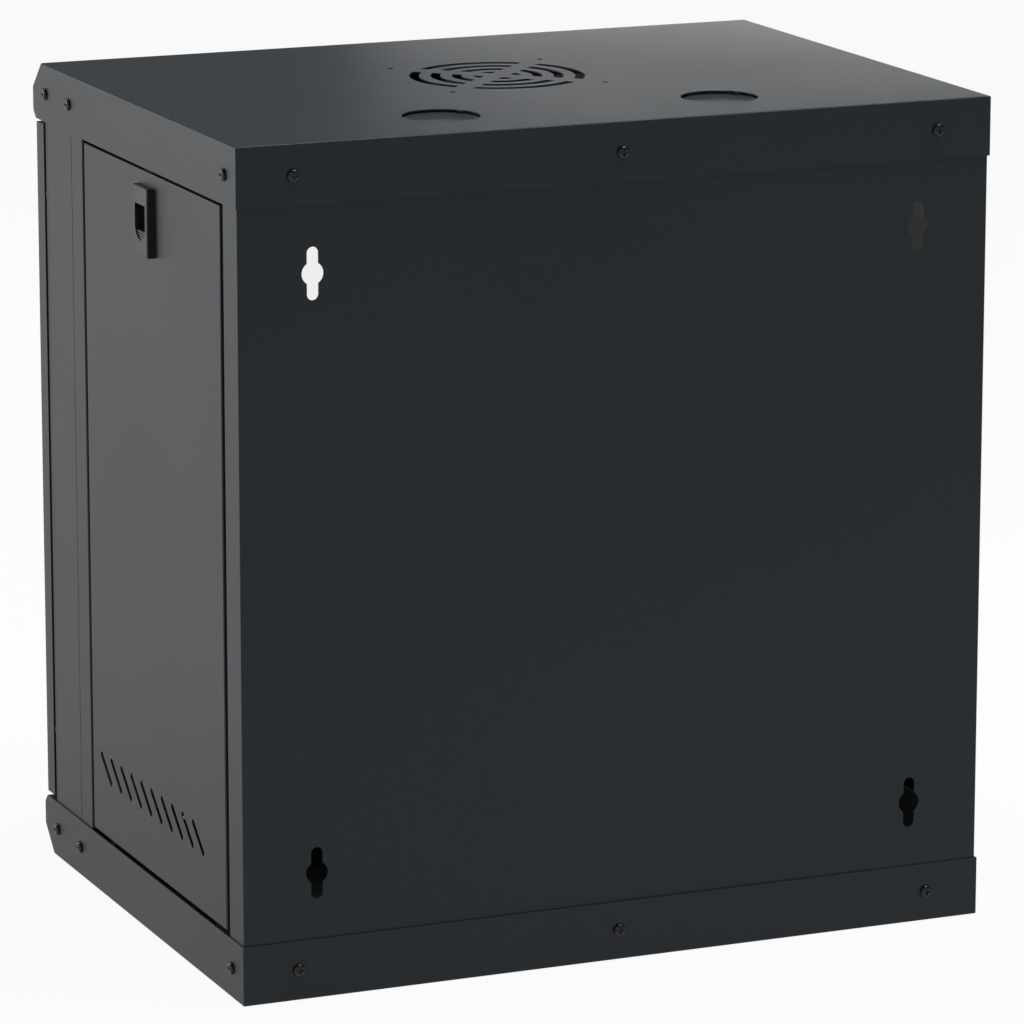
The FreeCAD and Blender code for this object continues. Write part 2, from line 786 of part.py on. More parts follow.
def latch_housing():
    """Right-hand latch housing: proud face, neck through the panel and snap lugs behind it."""
    low, high = latch_z - s.latch_tall / 2, latch_z + s.latch_tall / 2
    y_low, y_high = s.latch_y - s.latch_width / 2, s.latch_y + s.latch_width / 2
    body = new_body("latch_housing_block")
    pad(body, "latch_face", "YZ", skin, latch_face, [rectangle(y_low, y_high, low, high)])
    round_edges(
        body, "latch_face_edges", s.neck_lug,
        lambda b: near(b.XMin, latch_face.value) and near(b.XMax, latch_face.value),
    )
    pad(body, "latch_neck", "YZ", neck_back, skin, [rectangle(neck_front, neck_rear, neck_low, neck_high)])
    lug_face = skin - s.steel
    lugs = [
        rectangle(neck_front, neck_rear, neck_low - s.neck_lug, neck_low),
        rectangle(neck_front, neck_rear, neck_high, neck_high + s.neck_lug),
    ]
    pad(body, "latch_lugs", "YZ", lug_face - s.neck_lug, lug_face, lugs)
    round_r = s.thumb_window / 2
    upper = rectangle(s.latch_y - round_r, s.latch_y + round_r, window_low + round_r, window_high)
    floor_x = neck_back + s.thumb_floor
    pocket(body, "latch_window_top", "YZ", floor_x, latch_face + 1, [upper])
    pocket(body, "latch_window_round", "YZ", floor_x, latch_face + 1,
           [((s.latch_y, window_low + round_r), round_r)])
    half = s.thumb_stem / 2 + s.gap
    stem_way = rectangle(s.latch_y - half, s.latch_y + half, window_low + s.gap, window_high)
    pocket(body, "latch_stem_way", "YZ", neck_back - 1, floor_x + 1, [stem_way])
    return body


def latch_bolt():
    """Right-hand bolt: a strip behind the neck, a tongue that reaches past the panel, a thumb piece."""
    half = s.bolt_width / 2
    y_low, y_high = s.latch_y - half, s.latch_y + half
    strip_low = window_low + s.gap
    strip = box("bolt_strip", (bolt_back, y_low, strip_low), (bolt_face, y_high, tongue_low + s.bolt_thick))
    step = box("bolt_step", (bolt_back, y_low, tongue_low), (tongue_face, y_high, tongue_low + s.bolt_thick))
    tongue = box("bolt_tongue", (tongue_face - s.bolt_thick, y_low, tongue_low),
                 (tongue_face, y_high, panel_high + s.gap))
    stem_half = s.thumb_stem / 2
    floor_x = neck_back + s.thumb_floor
    thumb_r = s.thumb_window / 2 - s.gap
    thumb_z = window_low + s.thumb_window / 2
    thumb_top = strip_low + s.thumb_tall
    stem = box("bolt_stem", (bolt_back, s.latch_y - stem_half, strip_low + s.gap),
               (floor_x + s.gap, s.latch_y + stem_half, thumb_top))
    face_x = latch_face - 1
    thumb = cylinder("bolt_thumb", "x", (floor_x + s.gap, s.latch_y, thumb_z), thumb_r,
                     face_x - floor_x - s.gap)
    spare = box("bolt_thumb_spare", (floor_x, s.latch_y - s.thumb_window, thumb_top),
                (latch_face, s.latch_y + s.thumb_window, thumb_z + s.thumb_window))
    half_disc = cut("bolt_thumb_half", thumb, [spare])
    ribs = []
    for i in range(2):
        z = thumb_top - s.groove_pitch * (i + 0.6)
        ribs.append(box("bolt_groove", (face_x - s.groove, s.latch_y - s.thumb_window, z - s.groove),
                        (face_x + 1, s.latch_y + s.thumb_window, z)))
    ribbed = cut("bolt_thumb_ribbed", half_disc, ribs)
    return fuse("latch_bolt_joined", [strip, step, tongue, stem, ribbed])


def latch_back_plate():
    """Right-hand channel behind the bolt, screwed to the housing's neck."""
    body = new_body("latch_channel")
    half = s.bolt_width / 2 + s.gap
    floor_x = bolt_back - s.gap
    outline = [
        (neck_back, neck_front),
        (neck_back, s.latch_y - half),
        (floor_x, s.latch_y - half),
        (floor_x, s.latch_y + half),
        (neck_back, s.latch_y + half),
        (neck_back, neck_rear),
        (floor_x - s.plate_wall, neck_rear),
        (floor_x - s.plate_wall, neck_front),
    ]
    pad(body, "latch_channel_sheet", "XY", neck_low, neck_high, [outline])
    return body


def latch_screw_spots():
    """Centres of the four small screws that hold the channel to the housing."""
    half = s.bolt_width / 2 + s.gap
    ys = ((neck_front + s.latch_y - half) / 2, (neck_rear + s.latch_y + half) / 2)
    zs = (neck_low + s.small_head_r + 1, neck_high - s.small_head_r - 1)
    return [(y, z) for y in ys for z in zs]


channel_back = bolt_back - s.gap - s.plate_wall
screw_tip = neck_back + s.thumb_floor - 1


def drilled(name, base, start, end):
    """Drill the four latch screw holes through a piece between two X levels."""
    holes = [cylinder(f"{name}_hole", "x", (start, y, z), s.small_screw_r, end - start)
             for y, z in latch_screw_spots()]
    return cut(name, base, holes)


def latch_screws():
    """Four small pan head screws, heads inside the cabinet."""
    pieces = []
    for y, z in latch_screw_spots():
        head_x = channel_back - 1.6
        head = cylinder("latch_screw_head", "x", (head_x, y, z), s.small_head_r, channel_back - head_x)
        shank_r = s.small_screw_r - 0.05
        shank = cylinder("latch_screw_shank", "x", (channel_back, y, z), shank_r, screw_tip - channel_back)
        pieces.append(fuse("latch_screw", [head, shank]))
    group = doc.addObject("Part::Compound", "latch_screw_group")
    group.Links = pieces
    return group


node_pair("side_panel", side_panel())
node_pair("latch_housing", drilled("latch_housing_drilled", latch_housing(), neck_back - 1, screw_tip))
node_pair("latch_bolt", latch_bolt())
node_pair("latch_back_plate",
          drilled("latch_channel_drilled", latch_back_plate(), channel_back - 1, neck_back + 1))
node_pair("latch_screws", latch_screws())


# ---------------------------------------------------------------- door

window_half = door_half - s.stile
window_bottom = door_low + s.door_rail
window_top = door_high - s.door_rail
glass_half = window_half + s.glass_bite
glass_low = window_bottom - s.glass_bite
glass_high = window_top + s.glass_bite
glass_face = door_inner + s.seal
glass_back = glass_face + s.glass
lock_z = s.height / 2


def door_frame():
    """Folded door frame: face, rim, rear lip, lock hole and hinge pin holes."""
    body = new_body("door_frame_sheet")
    outer = rectangle(-door_half, door_half, door_low, door_high)
    window = rectangle(-window_half, window_half, window_bottom, window_top)
    hollow = rectangle(-door_half + s.steel, door_half - s.steel, door_low + s.steel, door_high - s.steel)
    mouth = rectangle(-door_half + s.door_lip, door_half - s.door_lip,
                      door_low + s.door_lip, door_high - s.door_lip)
    pad(body, "door_block", "XZ", door_face, door_back, [outer])
    face_y = door_face.value
    round_edges(body, "door_folds", s.bend, lambda b: near(b.YMin, face_y) and near(b.YMax, face_y))
    pocket(body, "door_hollow", "XZ", door_inner, door_back - s.steel, [hollow])
    pocket(body, "door_mouth", "XZ", door_inner, door_back + 1, [mouth])
    pocket(body, "door_window", "XZ", door_face - 1, door_inner + 1, [window])
    pocket(body, "door_lock_hole", "XZ", door_face - 1, door_inner + 1, [((lock_x, lock_z), s.lock_r)])
    pin_hole = [((hinge_x, hinge_y), s.pin_r + s.pin_fit)]
    pocket(body, "door_pin_hole_low", "XY", door_low - 1, door_low + s.steel + 1, pin_hole)
    pocket(body, "door_pin_hole_high", "XY", door_high - s.steel - 1, door_high + 1, pin_hole)
    return node("door_frame", body)


def glass_gasket():
    """Flat rubber gasket between the door's face and the glass."""
    body = new_body("glass_gasket_strip")
    outer = rectangle(-glass_half, glass_half, glass_low, glass_high)
    inner = rectangle(-window_half, window_half, window_bottom, window_top)
    pad(body, "gasket_ring", "XZ", door_inner, glass_face, [outer, inner])
    return node("glass_gasket", body)


def glass_clips():
    """Z-shaped clips that hold the glass's upright edges, and their nuts."""
    clips, nuts = [], []
    span = glass_high - glass_low - 2 * s.clip_end
    for hand in (-1, 1):
        for i in range(int(s.clips.value)):
            z = glass_low + s.clip_end + i * span / (s.clips - 1)
            low, high = z - s.clip_width / 2, z + s.clip_width / 2
            web = glass_half + s.gap
            ends = (
                (web - s.glass_bite, web + s.steel, glass_back, glass_back + s.steel),
                (web, web + s.steel, door_inner, glass_back + s.steel),
                (web, web + s.clip_foot, door_inner, door_inner + s.steel),
            )
            plates = []
            for near_x, far_x, y_low, y_high in ends:
                left, right = (near_x, far_x) if hand > 0 else (-far_x, -near_x)
                plates.append(box("clip_plate", (left, y_low, low), (right, y_high, high)))
            clips.append(fuse("glass_clip", plates))
            nut_x = hand * (web + s.steel + (s.clip_foot - s.steel) / 2)
            foot = door_inner + s.steel
            nuts.append(cylinder("clip_nut", "y", (nut_x, foot, z), s.clip_nut_r, s.clip_nut_tall))
    for name, pieces in (("glass_clips", clips), ("glass_clip_nuts", nuts)):
        group = doc.addObject("Part::Compound", f"{name}_group")
        group.Links = pieces
        node(name, group)


door_frame()
glass_gasket()
node("door_glass", box("door_glass_sheet", (-glass_half, glass_face, glass_low),
                       (glass_half, glass_back, glass_high)))
glass_clips()


# ---------------------------------------------------------------- lock

cam_face = post_face + s.steel + s.cam_clear
cam_back = cam_face + s.cam_thick
lock_front = door_face - s.lock_flange


def lock():
    """Cylinder lock: body and nut in the door, plug with its cam and screw turning in the body."""
    axis_at = lambda y: (lock_x, y, lock_z)
    flange = cylinder("lock_flange", "y", axis_at(lock_front), s.lock_flange_r, s.lock_flange)
    barrel_end = cam_face - s.gap
    barrel = cylinder("lock_barrel", "y", axis_at(door_face), s.lock_r, barrel_end - door_face)
    bore = cylinder("lock_bore", "y", axis_at(lock_front - 1), s.plug_r + s.pin_fit,
                    barrel_end - lock_front + 2)
    node("lock_body", cut("lock_body_bored", fuse("lock_body_solid", [flange, barrel]), [bore]))

    nut = doc.addObject("Part::Prism", "lock_nut_hexagon")
    nut.Polygon = 6
    bind(nut, "Circumradius", s.lock_nut_r)
    bind(nut, "Height", s.lock_nut_tall)
    nut.Placement = FreeCAD.Placement(FreeCAD.Vector(), TURNS["y"])
    place(nut, axis_at(door_inner))
    hole = cylinder("lock_nut_hole", "y", axis_at(door_inner - 1), s.lock_r, s.lock_nut_tall + 2)
    node("lock_nut", cut("lock_nut_threaded", nut, [hole]))

    plug_front = lock_front + s.gap
    plug = cylinder("plug_bar", "y", axis_at(plug_front), s.plug_r, cam_face - plug_front)
    keyway = box(
        "plug_keyway",
        (lock_x - s.key_slot_wide / 2, plug_front - 1, lock_z - s.key_slot_tall / 2),
        (lock_x + s.key_slot_wide / 2, plug_front + s.key_slot_deep, lock_z + s.key_slot_tall / 2),
    )
    node("lock_plug", cut("lock_plug_cut", plug, [keyway]))

    body = new_body("lock_cam_plate")
    half = s.cam_wide / 2
    arm = ((lock_x, lock_z), (lock_x, lock_z + s.cam_long - half), half)
    pad(body, "cam_arm", "XZ", cam_face, cam_back, [arm])
    node("lock_cam", body)
    node("lock_cam_screw", cylinder("cam_screw_head", "y", axis_at(cam_back), s.head_r, s.head_tall))


lock()


# ---------------------------------------------------------------- hinge

def hinge_plate(name, level, inward):
    """Plate inside the door's corner with a tab on the face; inward is +1 up or -1 down."""
    left = -door_half + s.steel
    right = left + s.hinge_plate_long
    lip = door_back - s.steel
    low, high = sorted((level, level + inward * s.hinge_plate), key=lambda size: size.value)
    tab_low, tab_high = sorted((level, level + inward * s.hinge_tab), key=lambda size: size.value)
    plate = box(f"{name}_plate", (left, door_inner, low), (right, lip, high))
    tab = box(f"{name}_tab", (left, door_inner, tab_low), (right, door_inner + s.rail_steel, tab_high))
    hole = cylinder(f"{name}_hole", "z", (hinge_x, hinge_y, low - 1), s.pin_r + s.pin_fit,
                    s.hinge_plate + 2)
    return node(name, cut(f"{name}_drilled", fuse(f"{name}_joined", [plate, tab]), [hole]))


upper_plate_top = door_high - s.hinge_plate_in
lower_plate_low = door_low + s.hinge_plate_in
pin_axis = lambda z: (hinge_x, hinge_y, z)
pin_low = upper_plate_top - s.hinge_plate - s.pin_travel
pin_high = door_high + s.pin_reach
ring_high = door_high - s.steel - s.gap
ring_low = ring_high - s.ring_tall


def hinge_pins():
    """Sprung upper pin with its ring, and the fixed lower pin with its washer."""
    pin = cylinder("upper_pin_bar", "z", pin_axis(pin_low), s.pin_r, pin_high - pin_low)
    tail_r = s.pin_r - s.gap
    tail = cylinder("upper_pin_tail", "x", (hinge_x, hinge_y, pin_low + tail_r), tail_r, s.pin_tail)
    node("upper_hinge_pin", fuse("upper_pin_joined", [pin, tail]))
    ring = cylinder("ring_outer", "z", pin_axis(ring_low), s.ring_r, s.ring_tall)
    ring_hole = cylinder("ring_inner", "z", pin_axis(ring_low - 1), s.pin_r, s.ring_tall + 2)
    node("hinge_pin_ring", cut("ring_open", ring, [ring_hole]))

    body = new_body("upper_hinge_coil")
    sketch = sketch_on(body, "coil_sketch", "XZ", 0)
    wire_r = s.spring_wire / 2
    circle(sketch, (s.spring_r, wire_r), wire_r)
    coil = body.newObject("PartDesign::AdditiveHelix", "coil")
    coil.Profile = sketch
    coil.ReferenceAxis = (sketch, ["V_Axis"])
    coil.Mode = "height-turns-angle"
    bind(coil, "Height", ring_low - upper_plate_top - s.spring_wire - 2 * s.gap / 10)
    bind(coil, "Turns", s.spring_turns)
    doc.recompute()
    place(body, pin_axis(upper_plate_top + s.gap / 10))
    node("upper_hinge_spring", body)

    lower_low = door_low - s.pin_reach
    lower_high = lower_plate_low + s.hinge_plate + s.pin_reach
    node("lower_hinge_pin", cylinder("lower_pin_bar", "z", pin_axis(lower_low), s.pin_r,
                                     lower_high - lower_low))
    washer_low = s.rim + s.gap
    washer = cylinder("washer_outer", "z", pin_axis(washer_low), s.ring_r, door_low - washer_low)
    washer_hole = cylinder("washer_inner", "z", pin_axis(washer_low - 1), s.pin_r, s.door_end_gap + 2)
    node("hinge_washer", cut("washer_open", washer, [washer_hole]))


hinge_plate("hinge_plate_top", upper_plate_top, -1)
hinge_plate("hinge_plate_bottom", lower_plate_low, 1)
hinge_pins()


# ---------------------------------------------------------------- door buffers

buffer_x = door_half - s.door_lip / 2
buffer_group = doc.addObject("Part::Compound", "door_buffer_group")
buffer_group.Links = [
    cylinder("door_buffer", "y", (buffer_x, door_back + s.gap, z), s.buffer_r,
             post_face - door_back - s.gap)
    for z in (door_low + s.buffer_z, door_high - s.buffer_z)
]
node("door_buffers", buffer_group)


# ---------------------------------------------------------------- mounting rails and depth brackets

units = Size(math.floor((SIZES["height"] - 2 * SIZES["rim"]) / SIZES["unit"]),
             "floor((Sizes.height - 2 * Sizes.rim) / Sizes.unit)")
rail_face = front + s.rail_front
rack_holes_x = side - s.rack_holes_in
rack_open = rack_holes_x - s.rack_edge
bracket_x = side - s.bracket_in
rail_outer = bracket_x - s.gap
rack_low = (s.height - units * s.unit) / 2
rail_low = s.rim + s.rail_end
rail_high = s.height - rail_low
bracket_lows = (s.bracket_z, s.height - s.bracket_z - s.bracket_tall)
bracket_mids = tuple(low + s.bracket_tall / 2 for low in bracket_lows)
rail_screw_ys = (rail_face + s.rail_screw_first, rail_face + s.rail_screw_second)


def mounting_rail():
    """Right-hand rail: an angle with three square holes for each rack unit."""
    body = new_body("mounting_rail_angle")
    outline = [
        (rack_open, rail_face),
        (rail_outer, rail_face),
        (rail_outer, rail_face + s.rail_deep),
        (rail_outer - s.rail_steel, rail_face + s.rail_deep),
        (rail_outer - s.rail_steel, rail_face + s.rail_steel),
        (rack_open, rail_face + s.rail_steel),
    ]
    pad(body, "rail_angle", "XY", rail_low, rail_high, [outline])
    holes = [((y, z), s.rail_screw_r + s.pin_fit) for y in rail_screw_ys for z in bracket_mids]
    pocket(body, "rail_screw_holes", "YZ", rail_outer - s.rail_steel - 1, rail_outer + 1, holes)
    half = s.hole_square / 2
    squares = []
    for i in range(3):
        z = rack_low + s.hole_first + i * s.hole_step
        squares.append(rectangle(rack_holes_x - half, rack_holes_x + half, z - half, z + half))
    unit = pocket(body, "rail_unit_holes", "XZ", rail_face - 1, rail_face + s.rail_steel + 1, squares)
    row_of(body, "rail_hole_rows", unit, "Z", s.unit, units)
    return body


def depth_bracket(name, low):
    """Right-hand bracket from the front post to the rear panel, with the rail's long slot."""
    body = new_body(f"{name}_sheet")
    start = post_face + s.steel
    end = back - s.steel
    inner = bracket_x
    web = inner + s.rail_steel
    tab = inner + s.bracket_tab
    outline = [
        (inner, start), (tab, start), (tab, start + s.rail_steel), (web, start + s.rail_steel),
        (web, end - s.rail_steel), (tab, end - s.rail_steel), (tab, end), (inner, end),
    ]
    pad(body, f"{name}_web", "XY", low, low + s.bracket_tall, [outline])
    middle = low + s.bracket_tall / 2
    spare = 2 * s.gap
    way = ((rail_screw_ys[0] - spare, middle), (rail_screw_ys[1] + s.rail_travel + spare, middle),
           s.rail_slot_r)
    pocket(body, f"{name}_slot", "YZ", inner - 1, web + 1, [way])
    return body


def rail_fixings():
    """Four screws, heads outside the brackets, and the nuts inside the rail."""
    screws, nuts = [], []
    head_x = bracket_x + s.rail_steel + s.gap
    nut_x = rail_outer - s.rail_steel - s.rail_nut_tall
    for y in rail_screw_ys:
        for z in bracket_mids:
            head = cylinder("rail_head", "x", (head_x, y, z), s.rail_head_r, s.rail_head_tall)
            shank = cylinder("rail_shank", "x", (nut_x - 1, y, z), s.rail_screw_r, head_x - nut_x + 1)
            screws.append(fuse("rail_screw", [head, shank]))
            nut = cylinder("rail_nut", "x", (nut_x, y, z), s.rail_head_r, s.rail_nut_tall)
            hole = cylinder("rail_nut_hole", "x", (nut_x - 1, y, z), s.rail_screw_r, s.rail_nut_tall + 2)
            nuts.append(cut("rail_nut_open", nut, [hole]))
    groups = []
    for name, pieces in (("rail_screws", screws), ("rail_nuts", nuts)):
        group = doc.addObject("Part::Compound", f"{name}_group")
        group.Links = pieces
        groups.append(group)
    return groups


node_pair("mounting_rail", mounting_rail())
for place_name, low in zip(("bottom", "top"), bracket_lows):
    node_pair(f"depth_bracket_{place_name}", depth_bracket(f"bracket_{place_name}", low))
rail_screw_group, rail_nut_group = rail_fixings()
node_pair("rail_screws", rail_screw_group)
node_pair("rail_nuts", rail_nut_group)


# ---------------------------------------------------------------- cover screws, nuts and earth stud

def screw_master():
    """Cross-head pan screw: shank down -Z, underside of the head at the origin."""
    body = new_body("cover_screw")
    pad(body, "screw_head", "XY", 0, s.head_tall, [((0, 0), s.head_r)])
    top = s.head_tall.value
    round_edges(body, "screw_head_dome", s.head_round, lambda b: near(b.ZMin, top))
    long_half, wide_half = s.cross_long / 2, s.cross_wide / 2
    for name, half_u, half_v in (("cross_one", long_half, wide_half), ("cross_two", wide_half, long_half)):
        bar = rectangle(-half_u, half_u, -half_v, half_v)
        pocket(body, name, "XY", s.head_tall - s.cross_deep, s.head_tall + 1, [bar])
    pad(body, "screw_shank", "XY", -s.screw_long, 0, [((0, 0), s.screw_r)])
    return body


def nut_master():
    """Round clinch nut behind the sheet: face at the origin, body down -Z."""
    ring = cylinder("cover_nut_ring", "z", (0, 0, -s.nut_tall), s.nut_r, s.nut_tall)
    hole = cylinder("cover_nut_hole", "z", (0, 0, -s.nut_tall - 1), s.thread_hole_r, s.nut_tall + 2)
    return cut("cover_nut", ring, [hole])


def cover_places(x_level, y_level):
    """Places of the cover screws on the sides and the rear, with their outward directions."""
    places = []
    for z in screw_zs:
        places += [((x, y_level, z), (0, 1, 0)) for x in rear_screw_xs]
        for hand in (-1, 1):
            places += [((hand * x_level, y, z), (hand, 0, 0)) for y in side_screw_ys]
    return places


screw = screw_master()
nut = nut_master()
doc.recompute()
node_group("cover_screws", copies(screw, cover_places(side, rear)))
node_group("cover_nuts", copies(nut, cover_places(skin - s.steel, back - s.steel)))


def earth_stud():
    """Stud welded to the bottom cover, with its washer and nut."""
    at = lambda z: (s.earth_in - side, rear - s.earth_rear, z)
    node("earth_stud", cylinder("earth_stud_bar", "z", at(s.steel), s.earth_r, s.earth_tall))
    level = s.steel
    rings = (("earth_washer", s.earth_washer_r, s.earth_washer), ("earth_nut", s.earth_nut_r, s.earth_nut_tall))
    for name, radius, tall in rings:
        ring = cylinder(f"{name}_ring", "z", at(level), radius, tall)
        hole = cylinder(f"{name}_hole", "z", at(level - 1), s.earth_r, tall + 2)
        node(name, cut(f"{name}_open", ring, [hole]))
        level = level + tall


earth_stud()


# ---------------------------------------------------------------- check and export

def check_document():
    """Stop if an object failed, a cut took nothing away or a sub-part isn't sound."""
    doc.recompute()
    for item in doc.Objects:
        if "Invalid" in item.State or "Error" in item.State:
            raise RuntimeError(f"{item.Name} ({item.Label}) failed: {item.State}")
        if item.TypeId == "PartDesign::Pocket":
            taken = item.BaseFeature.Shape.Volume - item.Shape.Volume
            if taken < 1e-3:
                raise RuntimeError(f"{item.Name} cuts nothing")
    labels = [item.Label for item in NODES]
    if len(set(labels)) != len(labels):
        raise RuntimeError("two sub-parts share a name")
    for item in NODES:
        if item.Shape.isNull() or not item.Shape.isValid() or not item.Shape.Solids:
            raise RuntimeError(f"{item.Label} isn't a sound solid")


def export_parts():
    os.makedirs("parts", exist_ok=True)
    for item in NODES:
        item.Shape.exportStep(f"parts/{item.Label}.step")
        box_ = item.Shape.BoundBox
        print(f"{item.Label:28s} solids {len(item.Shape.Solids):2d}  volume {item.Shape.Volume:12.1f}  "
              f"x {box_.XMin:8.2f} {box_.XMax:8.2f}  y {box_.YMin:8.2f} {box_.YMax:8.2f}  "
              f"z {box_.ZMin:8.2f} {box_.ZMax:8.2f}")


check_document()
export_parts()
print(f"{len(NODES)} sub-parts written")
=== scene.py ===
import json
import math

import bmesh
import bpy
from mathutils import Matrix, Vector


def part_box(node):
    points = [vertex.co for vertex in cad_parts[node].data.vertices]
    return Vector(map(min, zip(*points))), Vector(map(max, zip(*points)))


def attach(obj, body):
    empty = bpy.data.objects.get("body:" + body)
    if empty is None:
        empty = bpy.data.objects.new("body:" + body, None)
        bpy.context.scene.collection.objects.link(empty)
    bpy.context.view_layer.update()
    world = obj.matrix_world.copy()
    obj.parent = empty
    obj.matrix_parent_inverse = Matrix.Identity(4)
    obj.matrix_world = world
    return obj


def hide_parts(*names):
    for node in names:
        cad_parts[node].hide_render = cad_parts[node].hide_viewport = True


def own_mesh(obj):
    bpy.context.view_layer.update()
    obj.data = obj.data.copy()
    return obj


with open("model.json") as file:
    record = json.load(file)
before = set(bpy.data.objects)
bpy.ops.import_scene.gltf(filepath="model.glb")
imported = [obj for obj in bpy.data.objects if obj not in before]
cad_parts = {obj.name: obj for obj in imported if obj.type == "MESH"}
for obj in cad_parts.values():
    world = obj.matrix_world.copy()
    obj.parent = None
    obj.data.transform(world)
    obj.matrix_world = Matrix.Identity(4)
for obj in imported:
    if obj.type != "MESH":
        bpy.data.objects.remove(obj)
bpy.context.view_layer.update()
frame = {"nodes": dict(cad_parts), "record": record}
nodes = frame["nodes"]
scene = bpy.context.scene

MM = 0.001
NEAR = 0.01 * MM                    # points this close count as one, and levels as equal


# ---------------------------------------------------------------- materials

def new_material(name):
    material = bpy.data.materials.new(name)
    material.use_nodes = True
    tree = material.node_tree
    tree.nodes.clear()
    output = tree.nodes.new("ShaderNodeOutputMaterial")
    shader = tree.nodes.new("ShaderNodeBsdfPrincipled")
    tree.links.new(shader.outputs["BSDF"], output.inputs["Surface"])
    return material, tree, shader


def object_coords(tree, stretch=(1.0, 1.0, 1.0)):
    source = tree.nodes.new("ShaderNodeTexCoord")
    mapping = tree.nodes.new("ShaderNodeMapping")
    mapping.inputs["Scale"].default_value = stretch
    tree.links.new(source.outputs["Object"], mapping.inputs["Vector"])
    return mapping.outputs["Vector"]


def noise(tree, coords, scale, detail=2.0):
    node = tree.nodes.new("ShaderNodeTexNoise")
    node.inputs["Scale"].default_value = scale
    node.inputs["Detail"].default_value = detail
    tree.links.new(coords, node.inputs["Vector"])
    return node.outputs["Fac"]


def ramp(tree, factor, stops):
    """A colour ramp; each stop is a place with a colour or a plain number."""
    node = tree.nodes.new("ShaderNodeValToRGB")
    elements = node.color_ramp.elements
    while len(elements) < len(stops):
        elements.new(0.5)
    for element, (place, value) in zip(elements, stops):
        colour = value if isinstance(value, tuple) else (value, value, value)
        element.position = place
        element.color = (*colour, 1.0)
    tree.links.new(factor, node.inputs["Fac"])
    return node.outputs["Color"]


def roughen(tree, shader, height, strength, distance):
    """Raises the surface by this height pattern."""
    node = tree.nodes.new("ShaderNodeBump")
    node.inputs["Strength"].default_value = strength
    node.inputs["Distance"].default_value = distance
    tree.links.new(height, node.inputs["Height"])
    tree.links.new(node.outputs["Normal"], shader.inputs["Normal"])


def vary(tree, shader, socket, pattern, low, high):
    """Lets a socket go from low to high where the pattern goes from 0.3 to 0.7."""
    tree.links.new(ramp(tree, pattern, [(0.3, low), (0.7, high)]), shader.inputs[socket])


def darker(colour, share):
    return tuple(share * part for part in colour)


def powder_coat():
    """Satin black powder coat: fine orange peel, faint cloudiness in tone and gloss."""
    material, tree, shader = new_material("satin_black_powder_coat")
    coords = object_coords(tree)
    cloud = noise(tree, coords, scale=3.5, detail=3.0)
    orange_peel = noise(tree, coords, scale=900.0)
    vary(tree, shader, "Base Color", cloud, (0.0112, 0.0166, 0.0222), (0.0137, 0.0194, 0.0252))
    gloss = ramp(tree, cloud, [(0.25, 0.40), (0.75, 0.46)])
    tree.links.new(gloss, shader.inputs["Roughness"])
    shader.inputs["Specular IOR Level"].default_value = 0.32
    roughen(tree, shader, orange_peel, strength=0.12, distance=0.2 * MM)
    return material


def moulded_plastic(name, colour, roughness):
    """Moulded plastic with a fine spark-eroded texture."""
    material, tree, shader = new_material(name)
    coords = object_coords(tree)
    grain = noise(tree, coords, scale=1400.0)
    cloud = noise(tree, coords, scale=40.0)
    vary(tree, shader, "Base Color", cloud, darker(colour, 0.85), colour)
    vary(tree, shader, "Roughness", cloud, roughness, roughness + 0.08)
    roughen(tree, shader, grain, strength=0.2, distance=0.1 * MM)
    return material


def blackened_steel():
    """Screws in black oxide: nearly as dark as the coat's shadows, with a low sheen."""
    material, tree, shader = new_material("black_oxide_screws")
    wear = noise(tree, object_coords(tree), scale=400.0)
    vary(tree, shader, "Base Color", wear, 0.0035, 0.006)
    vary(tree, shader, "Roughness", wear, 0.22, 0.30)
    shader.inputs["Specular IOR Level"].default_value = 0.45
    roughen(tree, shader, wear, strength=0.1, distance=0.1 * MM)
    return material


def plated_metal(name, colour, roughness, spread=0.12):
    """Plated or drawn metal with fine upright streaks."""
    material, tree, shader = new_material(name)
    streaks = noise(tree, object_coords(tree, stretch=(1.0, 1.0, 0.05)), scale=1500.0)
    cloud = noise(tree, object_coords(tree), scale=60.0, detail=3.0)
    vary(tree, shader, "Base Color", cloud, darker(colour, 0.8), colour)
    vary(tree, shader, "Roughness", streaks, roughness, roughness + spread)
    shader.inputs["Metallic"].default_value = 1.0
    roughen(tree, shader, streaks, strength=0.08, distance=0.1 * MM)
    return material


def rubber():
    material, tree, shader = new_material("black_rubber")
    grain = noise(tree, object_coords(tree), scale=700.0, detail=3.0)
    vary(tree, shader, "Base Color", grain, 0.010, 0.018)
    vary(tree, shader, "Roughness", grain, 0.72, 0.85)
    roughen(tree, shader, grain, strength=0.25, distance=0.2 * MM)
    return material


def clear_glass():
    """Toughened glass, thin enough to take as a clear film: more of a mirror at a slant."""
    material, tree, shader = new_material("clear_toughened_glass")
    wave = noise(tree, object_coords(tree), scale=6.0, detail=1.0)
    vary(tree, shader, "Base Color", wave, (0.010, 0.020, 0.016), (0.014, 0.026, 0.021))
    slant = tree.nodes.new("ShaderNodeLayerWeight")
    slant.inputs["Blend"].default_value = 0.35
    cover = ramp(tree, slant.outputs["Fresnel"], [(0.04, 0.05), (0.4, 0.5), (1.0, 0.95)])
    tree.links.new(cover, shader.inputs["Alpha"])
    shader.inputs["Roughness"].default_value = 0.02
    shader.inputs["IOR"].default_value = 3.0
    return material


